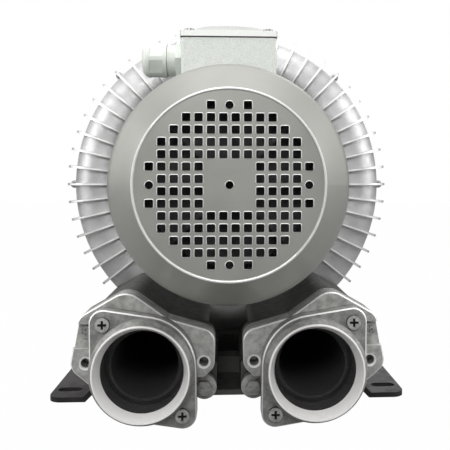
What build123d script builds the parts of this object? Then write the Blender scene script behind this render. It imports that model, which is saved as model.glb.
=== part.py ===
from build123d import *
import math
import os

# Side channel blower.  X is to the right seen from the fan cover, Y runs from the fan cover to the
# rear cover along the shaft, Z is up.  The origin is the middle of the foot slots, on the floor.

# ---- driving dimensions, mm ----
AXIS_Z = 173.0            # shaft height

SPLIT_Y = 50.0            # plane where housing and rear cover meet
CHANNEL_R = 118.0         # circle that the middle of the side channel follows
CHANNEL_BORE = 22.0       # radius of the channel section
CHANNEL_WALL = 4.0
CHANNEL_DEPTH = 12.0      # from the split plane to the centre of the channel arc
DISC_WALL = 14.0          # thickness of the discs inside the channel
DISC_GAP = 1.0            # running gap beside and around the impeller

FIN_PITCH = 360.0 / 56
FIN_FIRST = -6            # counted from the horizontal on the right
FIN_LAST = 34
FIN_THICK = 2.2
FIN_HEIGHT = 7.5          # how far a fin stands out of the rim
FIN_SHIFT = 2.5           # the fins' arc is centred this far outside the channel's
FIN_ROOT = 1.5            # how deep a fin is set into the wall
FIN_FRONT = -9.0          # fins are cut flat here
REAR_RIBS = 8
REAR_RIB_HALF = 2.0
REAR_RIB_DEPTH = 12.0
REAR_RIB_FOOT = 20.0      # inner end of a rib, from the shaft axis
HUB_COVER_WALL = 6.0
HUB_COVER_DEPTH = 18.0
NUT_SPACE = 9.0

HUB_BORE = 9.5            # radius of the shaft under the impeller
HUB_RADIUS = 24.0
IMPELLER_WEB = 10.0
VANE_COUNT = 40
VANE_THICK = 3.0
VANE_DISC_HALF = 1.5      # thin disc between the two rows of vanes
WEB_HOLES = 6
WEB_HOLE_R = 11.0
WEB_HOLE_CIRCLE = 62.0
SHAFT_R = 10.0            # radius in the bearings
SHAFT_CORE_R = 13.0       # radius under the rotor core
FAN_SEAT_R = 8.0

FRAME_FRONT = -118.0      # motor frame, fan end
FRAME_BACK = 24.0
FRAME_R = 66.0
FRAME_WALL = 5.0
FRAME_FINS = 24
FRAME_FIN_HEIGHT = 7.0
FRAME_FIN_HALF = 1.2
SHIELD_THICK = 12.0
STATOR_LENGTH = 64.0
STATOR_Y = -52.0          # middle of the stator
WINDING_OUT_R = 56.0
WINDING_IN_R = 42.0
WINDING_LONG = 18.0
ROTOR_R = 37.0
END_RING = 8.0            # length of the rotor's end rings
AIR_GAP = 0.5

BEARING_WIDTH = 14.0
BEARING_OUTER_R = 23.5
BEARING_RING = 4.0
BALL_COUNT = 8
BALL_GAP = 0.3

FACE_Y = -177.5           # flat face of the fan cover
FACE_R = 62.2
FACE_SUNK = 0.6           # face behind the rolled bead
BEAD_R = 1.3
SHOULDER_Y = -151.0
COVER_R = 82.5
COVER_BACK = -104.0
COVER_WALL = 1.5
GRID_PITCH = 7.9
GRID_HOLE = 5.5
ROUND_HOLE_R = 2.7

PORT_X = 60.0             # port axis from the middle
PORT_Z = 44.4
PORT_FRONT = -152.5
PORT_BORE = 28.3          # radius of the G2 thread crests
MOUTH_R = 32.2
MOUTH_DEPTH = 11.5        # length of the lead-in cone before the thread
LIP_R = 33.0
LIP_BEVEL = 6.0
NECK_R = 36.0
FLANGE_FRONT = -137.5
FLANGE_BACK = -126.5
EAR_X = 27.6
EAR_Z = 31.9
EAR_R = 9.8
GASKET = 1.0
PLATE_BACK = -113.0
LUG_BACK = -106.0
TAPPED_X = 42.0           # tapped holes each side of the port axis
TAPPED_Z = 1.8
TAPPED_R = 3.4
LUG_X = 42.0
LUG_Z = -20.0
LUG_R = 9.0
SMALL_X = 42.5
SMALL_Z = 22.7

TUBE_BORE = 26.0
SLEEVE_WALL = 2.0
SLEEVE_INSET = 0.8        # behind the silencer cover's front
SLEEVE_BACK = 34.0
THROAT_R = 13.0           # passage from each tube up into the channel
THROAT_Y = 18.0
TUBE_BOTTOM = 15.0        # underside of the silencer housing
WEB_TOP = 40.0
DUCT_BACK = 8.0           # joint between silencer housing and blower housing

SHEET = 4.0
SLOT_X = 260.0
SLOT_Y = 95.0
SLOT_WIDTH = 10.0
SLOT_LENGTH = 20.0
FOOT_OUT = 143.5
FOOT_IN = 114.0
BRACKET_HALF_Y = 68.5
BOLT_X = 88.0             # bracket bolts
BOLT_FRONT = -48.0
BOLT_REAR = 38.0
BOLT_R = 4.0
BOLT_DEPTH = 14.0
BOLT_ACROSS = 13.0
BOLT_HEAD = 5.3
FOOT_ROUND = 10.0
PAD_HALF = 9.0
PAD_TOP = 32.0

RIM_BOLTS = 8
RIM_BOLT_R = 2.0
RIM_LUG_R = 3.6
RIM_HEAD = 6.0            # across flats
RIM_LUG_DEPTH = 12.0
SEAL_R = 17.0
SEAT_HALF = 1.6           # half width of the cover seal

BOX_HALF = 36.0
BOX_FRONT = -102.5
BOX_BACK = -32.5
BOX_FLOOR = 247.0
SEAM_Z = 283.7
BOX_CORNER = 3.0
LID_EDGE = 4.2
LID_CROWN = 3.4           # rise of the lid's arched middle
LID_CROWN_HALF = 25.8
BOX_WALL = 3.0
SADDLE_INSET = 4.0
WIRE_HOLE_R = 8.0
POST_R = 4.0
POST_INSET = 6.2          # lid screws from the outside of the box
LID_SCREW_R = 2.0
LID_HEAD_R = 3.8
LID_HEAD = 2.2
LID_RIM = 12.0            # solid border under the lid
BOARD_HALF = 16.0
BOARD_THICK = 8.0
STUD_R = 2.0
STUD_PITCH = 10.0
GLAND_Y = -78.0
GLAND_Z = 270.0
GLAND_BORE = 6.5
GLAND_THREAD_R = 8.0
GLAND_BODY_R = 10.5
GLAND_NUT_R = 13.2
GLAND_HEX = 12.6          # half the width across flats
GLAND_END = -67.0
GLAND_NUT = 19.0          # nut length
GLAND_DOME = 6.0
GLAND_FLANGE = 5.0

# lobes of the left silencer cover and tube: radius, then x and z from the port axis
COVER_TOP_LOBE = (15.0, -14.0, 36.0)
COVER_CORNER_LOBE = (10.0, -38.0, 28.0)
COVER_OUTER_LOBE = (10.5, -42.0, 2.0)
COVER_INNER_TOP = (10.0, 40.0, 15.5)
COVER_INNER_LOW = (9.3, 40.5, 2.0)
TUBE_TOP_LOBE = (13.0, -14.0, 35.0)
TUBE_CORNER_LOBE = (9.0, -37.0, 26.0)
TUBE_OUTER_LOBE = (9.0, -39.0, 2.0)
TUBE_INNER_LOBE = (8.0, 36.0, 14.0)
TUBE_OUTSIDE_R = 30.0
WEB_HALF = 20.0           # web between the two tubes
WEB_OPEN_HALF = 9.0
WEB_FLOOR = 4.0

HEAD_THICK = 9.0          # bolting flange at the front of the silencer housing
COVER_SCREW_R = 2.5
COVER_SCREW_ACROSS = 10.0
COVER_SCREW_HEAD = 5.0
SMALL_HEAD_R = 4.4
SMALL_HEAD = 2.8
EAR_SCREW_R = 2.9
EAR_HEAD_R = 4.9
EAR_HEAD = 3.4
EAR_SCREW_DEPTH = 9.0
SPOT_FACE = 1.6           # width of the spot face round a tapped hole
SPOT_DEPTH = 0.8
EDGE = 1.0                # chamfer round the port castings
POCKET_DEPTH = 8.0        # outer corner of the cover sits this much lower


# ---- small helpers ----
STANDING = (Align.CENTER, Align.CENTER, Align.MIN)
HANGING = (Align.CENTER, Align.CENTER, Align.MAX)


def save(name, shape):
    export_step(shape, "parts/" + name + ".step")


def rod(radius, y_front, y_back, x=0.0, z=AXIS_Z):
    """Cylinder along Y between two planes."""
    return Pos(x, (y_front + y_back) / 2, z) * Rot(90, 0, 0) * Cylinder(radius, y_back - y_front)


def ring(outer, inner, y_front, y_back, x=0.0, z=AXIS_Z):
    return rod(outer, y_front, y_back, x, z) - rod(inner, y_front - 1, y_back + 1, x, z)


def slab(x0, x1, y0, y1, z0, z1):
    """Box between three pairs of planes."""
    return Pos((x0 + x1) / 2, (y0 + y1) / 2, (z0 + z1) / 2) * Box(x1 - x0, y1 - y0, z1 - z0)


def turned(face):
    """Turn a profile drawn as (radius, y) about the shaft axis."""
    return Pos(0, 0, AXIS_Z) * revolve(face, Axis.Y, 360)


def profile(*points):
    return make_face(Polyline(*points, close=True))


def upright(sketch, y_front, y_back):
    """Extrude a sketch drawn as (x, z) from one Y plane to another."""
    plane = Plane(origin=(0, y_back, 0), x_dir=(1, 0, 0), z_dir=(0, -1, 0))
    return extrude(plane * sketch, amount=y_back - y_front)


def around(shape, count, first=0.0):
    """Copies of a shape about the shaft axis."""
    pivot = Pos(0, 0, AXIS_Z)
    step = 360 / count
    return [pivot * Rot(0, first + i * step, 0) * pivot.inverse() * shape for i in range(count)]


def spot(radius, x, z):
    return Pos(x, z) * Circle(radius)


def hull(*circles):
    outlines = Sketch() + [spot(*circle) for circle in circles]
    return make_hull(outlines.edges())


def hex_bolt(x, z, y_seat, across, head, shank_r, shank):
    """Hexagon bolt along Y whose head faces the fan end."""
    size = across / math.sqrt(3)
    hexagon = upright(Pos(x, z) * RegularPolygon(size, 6), y_seat - head, y_seat)
    return hexagon + rod(shank_r, y_seat, y_seat + shank, x, z)


def pan_screw(x, z, y_seat, head_r, head, shank_r, shank):
    """Round-headed screw along Y with a cross recess, head towards the fan end."""
    body = rod(head_r, y_seat - head, y_seat, x, z) + rod(shank_r, y_seat, y_seat + shank, x, z)
    arm = head_r * 0.62
    slot = head_r * 0.17
    front = y_seat - head - 1
    deep = y_seat - head * 0.45
    body -= slab(x - arm, x + arm, front, deep, z - slot, z + slot)
    return body - slab(x - slot, x + slot, front, deep, z - arm, z + arm)


# ---- casing: ring channel ----
TUBE_R = CHANNEL_BORE + CHANNEL_WALL
ARC_Y = SPLIT_Y - CHANNEL_DEPTH
POCKET_Y = SPLIT_Y - IMPELLER_WEB / 2 - DISC_GAP
RIM_R = CHANNEL_R + TUBE_R


def half_section():
    """Motor-side half of the ring channel as a (radius, y) profile."""
    inside = CHANNEL_R - CHANNEL_BORE
    disc = profile(
        (0, POCKET_Y - DISC_WALL), (CHANNEL_R, POCKET_Y - DISC_WALL), (CHANNEL_R, POCKET_Y), (0, POCKET_Y))
    shell = Pos(CHANNEL_R, ARC_Y) * Circle(TUBE_R)
    shell += profile(
        (inside - CHANNEL_WALL, ARC_Y), (RIM_R, ARC_Y), (RIM_R, SPLIT_Y), (inside - CHANNEL_WALL, SPLIT_Y))
    hollow = Pos(CHANNEL_R, ARC_Y) * Circle(CHANNEL_BORE)
    hollow += profile(
        (inside, ARC_Y), (RIM_R - CHANNEL_WALL, ARC_Y), (RIM_R - CHANNEL_WALL, SPLIT_Y + TUBE_R),
        (0, SPLIT_Y + TUBE_R), (0, POCKET_Y), (inside, POCKET_Y))
    keep = profile((0, 0), (RIM_R + 1, 0), (RIM_R + 1, SPLIT_Y), (0, SPLIT_Y))
    return (disc + shell - hollow) & keep


def ring_fins():
    """Thin fins across the motor-side half of the ring."""
    reach = TUBE_R + FIN_HEIGHT - FIN_SHIFT
    outline = Pos(CHANNEL_R + FIN_SHIFT, ARC_Y) * Circle(reach)
    outline += profile(
        (CHANNEL_R, ARC_Y), (RIM_R + FIN_HEIGHT, ARC_Y), (RIM_R + FIN_HEIGHT, SPLIT_Y), (CHANNEL_R, SPLIT_Y))
    outline -= Pos(CHANNEL_R, ARC_Y) * Circle(TUBE_R - FIN_ROOT)
    rim_inside = RIM_R - FIN_ROOT
    outline -= profile((0, ARC_Y), (rim_inside, ARC_Y), (rim_inside, SPLIT_Y + reach), (0, SPLIT_Y + reach))
    outline -= profile((0, -reach), (CHANNEL_R - TUBE_R / 2, -reach), (CHANNEL_R - TUBE_R / 2, SPLIT_Y),
                       (0, SPLIT_Y))
    tip = RIM_R + FIN_HEIGHT + 1
    outline = outline & profile((0, FIN_FRONT), (tip, FIN_FRONT), (tip, SPLIT_Y), (0, SPLIT_Y))
    fin = extrude(outline, amount=FIN_THICK / 2, both=True)
    turns = range(FIN_FIRST, FIN_LAST + 1)
    return [Pos(0, 0, AXIS_Z) * Rot(0, -i * FIN_PITCH, 0) * fin for i in turns]


def cover_outline():
    """Outline of the left silencer cover about its port axis, as (x, z)."""
    lobe_side = hull(COVER_TOP_LOBE, COVER_CORNER_LOBE, COVER_OUTER_LOBE, (NECK_R, 0, 0))
    inner_side = hull((NECK_R, 0, 0), COVER_INNER_TOP, COVER_INNER_LOW)
    return Pos(-PORT_X, PORT_Z) * (lobe_side + inner_side)


def housing_outline():
    """Section of the left silencer tube: inside the cover's outline, flat at the bottom."""
    tube = (TUBE_OUTSIDE_R, 0, 0)
    section = hull(TUBE_TOP_LOBE, TUBE_CORNER_LOBE, TUBE_OUTER_LOBE, tube) + hull(tube, TUBE_INNER_LOBE)
    above = Pos(-PORT_X, TUBE_BOTTOM + AXIS_Z / 2) * Rectangle(AXIS_Z, AXIS_Z)
    return Pos(-PORT_X, PORT_Z) * section & above


def both_sides(shape):
    return [shape, mirror(shape, about=Plane.YZ)]


def make_silencer_housing():
    front = LUG_BACK + GASKET
    tube = upright(housing_outline(), front, DUCT_BACK)
    head = upright(cover_outline() + spot(LUG_R, LUG_X - PORT_X, LUG_Z + PORT_Z), front, front + HEAD_THICK)
    body = tube + head
    body -= rod(TUBE_BORE, front - 1, DUCT_BACK + 1, -PORT_X, PORT_Z)
    web = slab(-WEB_HALF, WEB_HALF, front + 2, DUCT_BACK, TUBE_BOTTOM, WEB_TOP)
    web -= slab(-WEB_OPEN_HALF, WEB_OPEN_HALF, front + 1, DUCT_BACK - WEB_HALF, TUBE_BOTTOM + WEB_FLOOR,
                WEB_TOP + 1)
    left, right = both_sides(body)
    pads = slab(-BOLT_X - PAD_HALF, BOLT_X + PAD_HALF, BOLT_FRONT - PAD_HALF, BOLT_FRONT + PAD_HALF,
                TUBE_BOTTOM, PAD_TOP)
    joined = web + pads
    for x in (-PORT_X, PORT_X):
        joined -= rod(TUBE_BORE + 1, front, DUCT_BACK + 1, x, PORT_Z)
    body = left + right + joined - bracket_holes(BOLT_FRONT)
    for x, z in cover_bolt_places():
        body -= both_sides(rod(COVER_SCREW_R, front - 1, front + HEAD_THICK - 1, x, z))
    save("silencer_housing", body)


def bracket_holes(y):
    """Blind holes for two bracket bolts."""
    hole = Pos(BOLT_X, y, TUBE_BOTTOM - 1) * Cylinder(BOLT_R, BOLT_DEPTH + 1, align=STANDING)
    return Part() + both_sides(hole)


def cover_bolt_places():
    """Hexagon bolt on the inner lug and small screw on the outer corner of the left cover."""
    return [(LUG_X - PORT_X, LUG_Z + PORT_Z), (-SMALL_X - PORT_X, SMALL_Z + PORT_Z)]


def make_duct_gasket():
    sheet = upright(housing_outline(), DUCT_BACK, DUCT_BACK + GASKET)
    sheet -= rod(TUBE_BORE, DUCT_BACK - 1, DUCT_BACK + 2, -PORT_X, PORT_Z)
    save("duct_gaskets", Compound(both_sides(sheet)))


def make_blower_housing():
    body = turned(half_section())
    body -= rod(SEAL_R, 0, SPLIT_Y)
    front = DUCT_BACK + GASKET
    duct = upright(housing_outline(), front, SPLIT_Y)
    bridge = slab(-WEB_HALF, WEB_HALF, front, SPLIT_Y, TUBE_BOTTOM, WEB_TOP)
    left, right = both_sides(duct)
    block = left + right + bridge
    block -= rod(CHANNEL_R + CHANNEL_BORE + 1, 0, SPLIT_Y + 1)
    body = body + block
    spigot = ring(FRAME_R - FRAME_WALL, FRAME_R - 2 * FRAME_WALL, FRAME_BACK - 12, DISC_FRONT + 1)
    boss = ring(BEARING_OUTER_R + 6, BEARING_OUTER_R, DRIVE_BEARING_Y - BEARING_WIDTH / 2, DISC_FRONT)
    pads = slab(-BOLT_X - PAD_HALF, BOLT_X + PAD_HALF, BOLT_REAR - PAD_HALF, SPLIT_Y, TUBE_BOTTOM, PAD_TOP)
    pads -= rod(CHANNEL_R + CHANNEL_BORE + 1, 0, SPLIT_Y + 1)
    body = body + pads + spigot + boss + ring_fins() + rim_lugs()
    for x in (-PORT_X, PORT_X):
        body -= rod(TUBE_BORE, front - 1, ARC_Y, x, PORT_Z)
        body -= throat(x)
    body = body - rim_holes() - bracket_holes(BOLT_REAR)
    tie_hole = rod(TIE_R, DISC_FRONT - 1, DISC_FRONT + TIE_DEPTH, 0, AXIS_Z + TIE_CIRCLE)
    for hole in tie_places(tie_hole):
        body -= hole
    body -= ring(RIM_MIDDLE + SEAT_HALF / 2, RIM_MIDDLE - SEAT_HALF / 2, SPLIT_Y - 1.2, SPLIT_Y)
    save("blower_housing", body)


def throat(x):
    """Upright passage from a silencer tube to the channel."""
    return Pos(x, THROAT_Y, PORT_Z) * Cylinder(THROAT_R, 34, align=STANDING)


def rim_lugs():
    """Bosses on the rim for the rear cover's bolts, each on a fin."""
    lug = rod(RIM_LUG_R, SPLIT_Y - RIM_LUG_DEPTH, SPLIT_Y, 0, AXIS_Z + RIM_BOLT_CIRCLE)
    return around(lug, RIM_BOLTS)


def rim_holes():
    hole = rod(RIM_BOLT_R, SPLIT_Y - RIM_LUG_DEPTH - 1, SPLIT_Y, 0, AXIS_Z + RIM_BOLT_CIRCLE)
    return Part() + around(hole, RIM_BOLTS)


def to_rear(shape):
    """Mirror a motor-side shape through the split plane."""
    return mirror(shape, about=Plane.XZ.offset(-SPLIT_Y))


def make_rear_cover():
    body = turned(half_section()) + ring_fins() + rim_lugs() - rim_holes()
    body -= rod(HUB_RADIUS + HUB_COVER_WALL, NUT_POCKET_Y, SPLIT_Y)
    seat = rod(RIM_HEAD * 0.6, 0, SPLIT_Y - RIM_LUG_DEPTH, 0, AXIS_Z + RIM_BOLT_CIRCLE)
    for spot_face in around(seat, RIM_BOLTS):
        body -= spot_face
    rear_rib = slab(-REAR_RIB_HALF, REAR_RIB_HALF, DISC_FRONT - REAR_RIB_DEPTH, DISC_FRONT,
                    AXIS_Z + REAR_RIB_FOOT, AXIS_Z + CHANNEL_R - CHANNEL_BORE)
    body = body + around(rear_rib, REAR_RIBS, 180 / REAR_RIBS)
    body += rod(HUB_RADIUS + HUB_COVER_WALL, DISC_FRONT - HUB_COVER_DEPTH, DISC_FRONT)
    save("rear_cover", to_rear(body))


def make_rim_seal_and_bolts():
    save("cover_seal", ring(RIM_MIDDLE + SEAT_HALF / 2, RIM_MIDDLE - SEAT_HALF / 2, SPLIT_Y - 1.2, SPLIT_Y))
    seat = SPLIT_Y + RIM_LUG_DEPTH
    bolt = to_rear(hex_bolt(0, AXIS_Z + RIM_BOLT_CIRCLE, 2 * SPLIT_Y - seat, RIM_HEAD, 3, RIM_BOLT_R,
                            2 * RIM_LUG_DEPTH - 1))
    save("cover_bolts", Compound(around(bolt, RIM_BOLTS)))


# ---- motor ----
DISC_FRONT = POCKET_Y - DISC_WALL
DRIVE_BEARING_Y = DISC_FRONT - BEARING_WIDTH / 2
FAN_BEARING_Y = FRAME_FRONT - SHIELD_THICK + 2 + BEARING_WIDTH / 2
SHIELD_FRONT = FRAME_FRONT - SHIELD_THICK
NUT_POCKET_Y = POCKET_Y - NUT_SPACE
RIM_BOLT_CIRCLE = RIM_R + RIM_LUG_R - 1.6
RIM_MIDDLE = RIM_R - CHANNEL_WALL / 2
STATOR_FRONT = STATOR_Y - STATOR_LENGTH / 2
STATOR_BACK = STATOR_Y + STATOR_LENGTH / 2
TIE_R = 2.5
TIE_CIRCLE = FRAME_R + TIE_R + 1
TIE_DEPTH = 9.0
TIE_ANGLE = 37.5
SEAL_GAP = 0.3
SLEEVE_R = 12.5
HUB_FRONT = SPLIT_Y - IMPELLER_WEB / 2
HUB_BACK = SPLIT_Y + IMPELLER_WEB / 2
WASHER = 2.0
NUT = 6.0
KEY_HALF = 2.5
KEY_LOW = HUB_BORE - 3.0
KEY_HIGH = HUB_BORE + 2.5
FAN_BACK = -142.0
FAN_DISC = 3.0
FAN_DEPTH = 22.0
FAN_R = 56.0
FAN_BLADES = 8
FAN_BLADE_HALF = 1.2
FAN_HUB_R = 16.0


def make_motor_frame():
    body = ring(FRAME_R, FRAME_R - FRAME_WALL, FRAME_FRONT, FRAME_BACK)
    fin = slab(-FRAME_FIN_HALF, FRAME_FIN_HALF, FRAME_FRONT + 4, FRAME_BACK - 12, AXIS_Z + FRAME_R - 1,
               AXIS_Z + FRAME_R + FRAME_FIN_HEIGHT)
    half = BOX_HALF - SADDLE_INSET
    saddle = slab(-half, half, BOX_FRONT + SADDLE_INSET, BOX_BACK - SADDLE_INSET,
                  AXIS_Z + FRAME_R - 12, BOX_FLOOR)
    saddle -= rod(FRAME_R - 1, BOX_FRONT, BOX_BACK)
    body = body + around(fin, FRAME_FINS) + saddle
    body -= Pos(0, WIRE_HOLE_Y, BOX_FLOOR) * Cylinder(WIRE_HOLE_R, 60)
    save("motor_frame", body)


def make_stator():
    save("stator_core", ring(FRAME_R - FRAME_WALL, ROTOR_R + AIR_GAP, STATOR_FRONT, STATOR_BACK))
    front = ring(WINDING_OUT_R, WINDING_IN_R, STATOR_FRONT - WINDING_LONG, STATOR_FRONT)
    back = ring(WINDING_OUT_R, WINDING_IN_R, STATOR_BACK, STATOR_BACK + WINDING_LONG)
    save("winding_heads", Compound([front, back]))


def make_fan_shield():
    """End shield at the fan, with a bearing boss and four arms for the fan cover."""
    body = rod(FRAME_R, SHIELD_FRONT, FRAME_FRONT)
    body += ring(FRAME_R - FRAME_WALL, FRAME_R - 2 * FRAME_WALL, FRAME_FRONT, FRAME_FRONT + 6)
    body += rod(BEARING_OUTER_R + 5, SHIELD_FRONT, FAN_BEARING_Y + BEARING_WIDTH / 2)
    arm = slab(-7, 7, SHIELD_FRONT, FRAME_FRONT, AXIS_Z + FRAME_R - 4, AXIS_Z + COVER_R - COVER_WALL)
    arm -= Pos(0, SHIELD_MIDDLE, AXIS_Z + COVER_R) * Cylinder(COVER_SCREW_R, 16)
    body = body + around(arm, 4, 45)
    ear = rod(TIE_R + 3.5, SHIELD_FRONT, FRAME_FRONT, 0, AXIS_Z + TIE_CIRCLE)
    body = body + tie_places(ear)
    for hole in tie_places(rod(TIE_R, SHIELD_FRONT - 1, FRAME_FRONT + 1, 0, AXIS_Z + TIE_CIRCLE)):
        body -= hole
    body -= rod(BEARING_OUTER_R, FAN_BEARING_Y - BEARING_WIDTH / 2, FRAME_BACK)
    body -= rod(SHAFT_R + 2, SHIELD_FRONT - 1, FRAME_FRONT)
    save("fan_end_shield", body & rod(COVER_R - COVER_WALL, SHIELD_FRONT - 1, FRAME_BACK))


def tie_places(shape):
    return around(shape, 4, TIE_ANGLE)


def make_tie_rods():
    pin = rod(TIE_R, SHIELD_FRONT, DISC_FRONT + TIE_DEPTH - 1, 0, AXIS_Z + TIE_CIRCLE)
    pin += upright(Pos(0, AXIS_Z + TIE_CIRCLE) * RegularPolygon(4.6, 6), SHIELD_FRONT - 3.5, SHIELD_FRONT)
    save("tie_rods", Compound(tie_places(pin)))


def make_bearing(name, y):
    half = BEARING_WIDTH / 2
    save(name + "_bearing_outer", ring(BEARING_OUTER_R, BEARING_OUTER_R - BEARING_RING, y - half, y + half))
    save(name + "_bearing_inner", ring(SHAFT_R + BEARING_RING, SHAFT_R, y - half, y + half))
    race = (BEARING_OUTER_R + SHAFT_R) / 2
    ball_r = (BEARING_OUTER_R - SHAFT_R - 2 * BEARING_RING) / 2 - BALL_GAP
    ball = Pos(0, y, AXIS_Z + race) * Sphere(ball_r)
    pocket = Pos(0, y, AXIS_Z + race) * Cylinder(ball_r + BALL_GAP / 2, 8)
    save(name + "_bearing_balls", Compound(around(ball, BALL_COUNT)))
    cage = ring(race + 1, race - 1, y - ball_r - 1.5, y + ball_r + 1.5)
    for hole in around(pocket, BALL_COUNT):
        cage -= hole
    save(name + "_bearing_cage", cage)


def make_shaft():
    drive_front = DRIVE_BEARING_Y - BEARING_WIDTH / 2
    fan_back = FAN_BEARING_Y + BEARING_WIDTH / 2
    end = HUB_BACK + WASHER + NUT + 1
    body = turned(profile(
        (0, FAN_FRONT - 2), (FAN_SEAT_R, FAN_FRONT - 2), (FAN_SEAT_R, FAN_BACK), (SHAFT_R, FAN_BACK),
        (SHAFT_R, fan_back), (SHAFT_CORE_R, fan_back), (SHAFT_CORE_R, drive_front), (SHAFT_R, drive_front),
        (SHAFT_R, DISC_FRONT), (HUB_BORE, DISC_FRONT), (HUB_BORE, end), (0, end)))
    save("shaft", body - key())


def key():
    return slab(-KEY_HALF, KEY_HALF, HUB_FRONT, HUB_BACK, AXIS_Z + KEY_LOW, AXIS_Z + KEY_HIGH)


def make_rotor():
    save("rotor_core", ring(ROTOR_R, SHAFT_CORE_R, STATOR_FRONT, STATOR_BACK))
    outside, inside = ROTOR_R - 3, ROTOR_R - 15
    front = ring(outside, inside, STATOR_FRONT - END_RING, STATOR_FRONT)
    back = ring(outside, inside, STATOR_BACK, STATOR_BACK + END_RING)
    save("rotor_end_rings", Compound([front, back]))


def make_impeller():
    """Double-sided impeller: a web with radial vanes on both sides of its rim."""
    inside = CHANNEL_R - CHANNEL_BORE + DISC_GAP
    outside = CHANNEL_R + CHANNEL_BORE - DISC_GAP
    body = rod(inside + 1, HUB_FRONT, HUB_BACK) + rod(
        outside, SPLIT_Y - VANE_DISC_HALF, SPLIT_Y + VANE_DISC_HALF)
    half = CHANNEL_DEPTH - DISC_GAP
    vane = slab(-VANE_THICK / 2, VANE_THICK / 2, SPLIT_Y - half, SPLIT_Y + half, AXIS_Z + inside,
                AXIS_Z + outside - 1)
    body = body + around(vane, VANE_COUNT)
    web_hole = rod(WEB_HOLE_R, HUB_FRONT - 1, HUB_BACK + 1, 0, AXIS_Z + WEB_HOLE_CIRCLE)
    for hole in around(web_hole, WEB_HOLES):
        body -= hole
    body = body - rod(HUB_BORE, HUB_FRONT - 1, HUB_BACK + 1) - key()
    save("impeller", body)


def make_impeller_mounting():
    save("impeller_key", key())
    save("shaft_sleeve", ring(SLEEVE_R, HUB_BORE, DISC_FRONT, HUB_FRONT))
    save("shaft_seal", ring(SEAL_R, SLEEVE_R + SEAL_GAP, DISC_FRONT + 2, DISC_FRONT + 10))
    washer = ring(16, HUB_BORE, HUB_BACK, HUB_BACK + WASHER)
    hexagon = upright(Pos(0, AXIS_Z) * RegularPolygon(16, 6), HUB_BACK + WASHER, HUB_BACK + WASHER + NUT)
    hexagon -= rod(HUB_BORE, HUB_BACK, HUB_BACK + 20)
    save("impeller_washer", washer)
    save("impeller_nut", hexagon)


FAN_FRONT = FAN_BACK - FAN_DISC - FAN_DEPTH
BOX_MIDDLE = (BOX_FRONT + BOX_BACK) / 2
WIRE_HOLE_Y = BOX_MIDDLE + 18
SHIELD_MIDDLE = FRAME_FRONT - SHIELD_THICK / 2


def make_cooling_fan():
    body = rod(FAN_R, FAN_BACK - FAN_DISC, FAN_BACK) + rod(FAN_HUB_R, FAN_FRONT, FAN_BACK)
    blade = slab(-FAN_BLADE_HALF, FAN_BLADE_HALF, FAN_FRONT, FAN_BACK - FAN_DISC, AXIS_Z + FAN_HUB_R - 4,
                 AXIS_Z + FAN_R)
    body = body + around(blade, FAN_BLADES)
    save("cooling_fan", body - rod(FAN_SEAT_R, FAN_FRONT - 1, FAN_BACK + 1))
    clip = ring(FAN_SEAT_R + 3, FAN_SEAT_R, FAN_FRONT - 1.5, FAN_FRONT)
    save("fan_clip", clip)


def grid_sketch():
    """Square holes of the fan cover in a round field, with round holes at the compass points."""
    holes = Sketch()
    counted = range(-7, 7)
    for row in counted:
        for column in counted:
            if square_here(abs(2 * column + 1), abs(2 * row + 1)):
                holes += Pos((column + 0.5) * GRID_PITCH, (row + 0.5) * GRID_PITCH) * Rectangle(
                    GRID_HOLE, GRID_HOLE)
    return holes


def square_here(across, up):
    """Whether the field has a square, from its distance to the centre lines in half pitches."""
    widest = {1: 11, 3: 13, 5: 11, 7: 11, 9: 9, 11: 7, 13: 3}[up]
    if up == 13:
        return across == 3
    if up < 4 and across < 4:
        return False
    return across <= widest


def make_fan_cover():
    """Pressed steel cowl: flat perforated face, sloping shoulder and a straight skirt."""
    roll = 2.0
    face = FACE_Y + FACE_SUNK
    slope = FACE_Y + BEAD_R
    body = turned(profile(
        (0, face), (FACE_R, face), (FACE_R + BEAD_R, slope), (COVER_R - 2.5, SHOULDER_Y - 5),
        (COVER_R - 0.6, SHOULDER_Y - 1.5), (COVER_R, SHOULDER_Y + roll), (COVER_R, COVER_BACK),
        (COVER_R - COVER_WALL, COVER_BACK), (COVER_R - COVER_WALL, SHOULDER_Y + roll),
        (COVER_R - 0.6 - COVER_WALL, SHOULDER_Y - 0.5), (COVER_R - 2.5 - COVER_WALL, SHOULDER_Y - 4),
        (FACE_R, slope + COVER_WALL), (FACE_R - 2, face + COVER_WALL), (0, face + COVER_WALL)))
    body += turned(Pos(FACE_R, FACE_Y + BEAD_R) * Circle(BEAD_R))
    holes = grid_sketch() + Circle(ROUND_HOLE_R)
    for x, z in ((6.5, 0), (-6.5, 0), (0, 6.5), (0, -6.5)):
        holes += spot(ROUND_HOLE_R, x * GRID_PITCH, z * GRID_PITCH)
    body -= Pos(0, 0, AXIS_Z) * upright(holes, FACE_Y - 1, face + COVER_WALL + 1)
    screw_hole = Pos(0, SHIELD_MIDDLE, AXIS_Z + COVER_R) * Cylinder(COVER_SCREW_R, 6)
    for hole in around(screw_hole, 4, 45):
        body -= hole
    save("fan_cover", body)
    shank = Pos(0, SHIELD_MIDDLE, AXIS_Z + COVER_R - 3) * Cylinder(COVER_SCREW_R, 8)
    head = Pos(0, SHIELD_MIDDLE, AXIS_Z + COVER_R + 1.5) * Cylinder(4.2, 2.4)
    save("fan_cover_screws", Compound(around(shank + head, 4, 45)))


# ---- ports ----
def edged(plate):
    """Chamfer round the front face of a plate."""
    return chamfer(plate.faces().sort_by(Axis.Y)[0].edges(), EDGE)


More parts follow.
